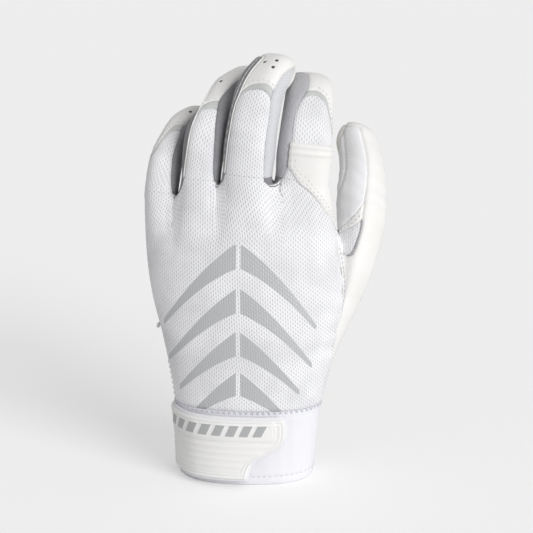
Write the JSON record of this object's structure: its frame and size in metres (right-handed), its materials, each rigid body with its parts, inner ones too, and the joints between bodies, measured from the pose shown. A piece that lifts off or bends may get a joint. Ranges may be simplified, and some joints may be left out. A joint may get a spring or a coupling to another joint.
{
  "type": "batting glove",
  "caption": "White left-hand batting glove standing on its cuff: mesh back, leather palm and fingertips, stretch finger walls, and a wrist strap that closes with hook and loop.",
  "frame": {"origin": "under the middle of the outline, on the plane that the rim of the cuff stands on", "axes": "+Z from the cuff to the fingertips, +X to the thumb, +Y from the back of the hand to the palm"},
  "size_m": [0.1198, 0.091, 0.2101],
  "materials": {
    "knit_mesh": "matt warp-knitted mesh with small holes",
    "white_leather": "satin, fine grain",
    "grey_spandex": "matt ribbed stretch knit",
    "white_neoprene": "matt, faced foam rubber",
    "moulded_cover": "soft satin, milky",
    "hook_and_loop": "hook tape and brushed loop tape",
    "thread": "close zigzag stitches"
  },
  "bodies": {
    "hand": {"back_panel": "knit_mesh", "palm_panel": "white_leather", "little_ring_crotch": "grey_spandex", "ring_middle_crotch": "grey_spandex", "middle_index_crotch": "grey_spandex", "thumb_base": "white_leather", "thumb_heel": "white_leather", "thumb_corner": "knit_mesh", "index_overlay": "white_leather", "cuff_band": "white_neoprene", "slit_binding_back": "white_leather", "slit_binding_palm": "white_leather", "bar_tack": "thread", "loop_pad": "hook_and_loop", "strap_root": "white_neoprene"},
    "little": {"little_back": "knit_mesh", "little_tip": "white_leather", "little_palm": "white_leather", "little_inner_wall": "grey_spandex"},
    "ring": {"ring_back": "knit_mesh", "ring_tip": "white_leather", "ring_palm": "white_leather", "ring_outer_wall": "grey_spandex", "ring_inner_wall": "grey_spandex"},
    "middle": {"middle_back": "knit_mesh", "middle_tip": "white_leather", "middle_palm": "white_leather", "middle_outer_wall": "grey_spandex", "middle_inner_wall": "grey_spandex"},
    "index": {"index_back": "knit_mesh", "index_tip": "white_leather", "index_palm": "white_leather", "index_outer_wall": "grey_spandex", "index_cap": "white_leather"},
    "thumb": {"thumb_back": "white_leather", "thumb_pad": "white_leather", "thumb_gusset": "grey_spandex"},
    "strap": {"strap": "white_neoprene", "strap_cover": "moulded_cover", "hook_pad": "hook_and_loop"}
  },
  "joints": [
    {"name": "little_flex", "type": "hinge", "parent": "hand", "child": "little", "pos_m": [-0.05183, -0.00366, 0.14247], "axis": [-0.9945, 0, 0.1045], "range_deg": [0, 20]},
    {"name": "ring_flex", "type": "hinge", "parent": "hand", "child": "ring", "pos_m": [-0.03205, -0.00848, 0.15093], "axis": [-0.9968, 0, 0.0802], "range_deg": [0, 14]},
    {"name": "middle_flex", "type": "hinge", "parent": "hand", "child": "middle", "pos_m": [-0.01108, -0.01116, 0.15416], "axis": [-0.9969, 0, 0.0785], "range_deg": [0, 20]},
    {"name": "index_flex", "type": "hinge", "parent": "hand", "child": "index", "pos_m": [0.0193, -0.00619, 0.15057], "axis": [-0.9842, 0, 0.1771], "range_deg": [0, 20]},
    {"name": "thumb_flex", "type": "hinge", "parent": "hand", "child": "thumb", "pos_m": [0.04711, 0.02373, 0.12294], "axis": [-0.9989, 0, 0.0465], "range_deg": [0, 20]},
    {"name": "strap_opening", "type": "hinge", "parent": "hand", "child": "strap", "pos_m": [-0.04085, -0.00451, 0.019], "axis": [0, 0, -1], "range_deg": [0, 110]}
  ],
  "couplings": [
    {"joint": "ring_flex", "follows": "middle_flex", "ratio": 0.7},
    {"joint": "index_flex", "follows": "middle_flex", "ratio": 1}
  ]
}
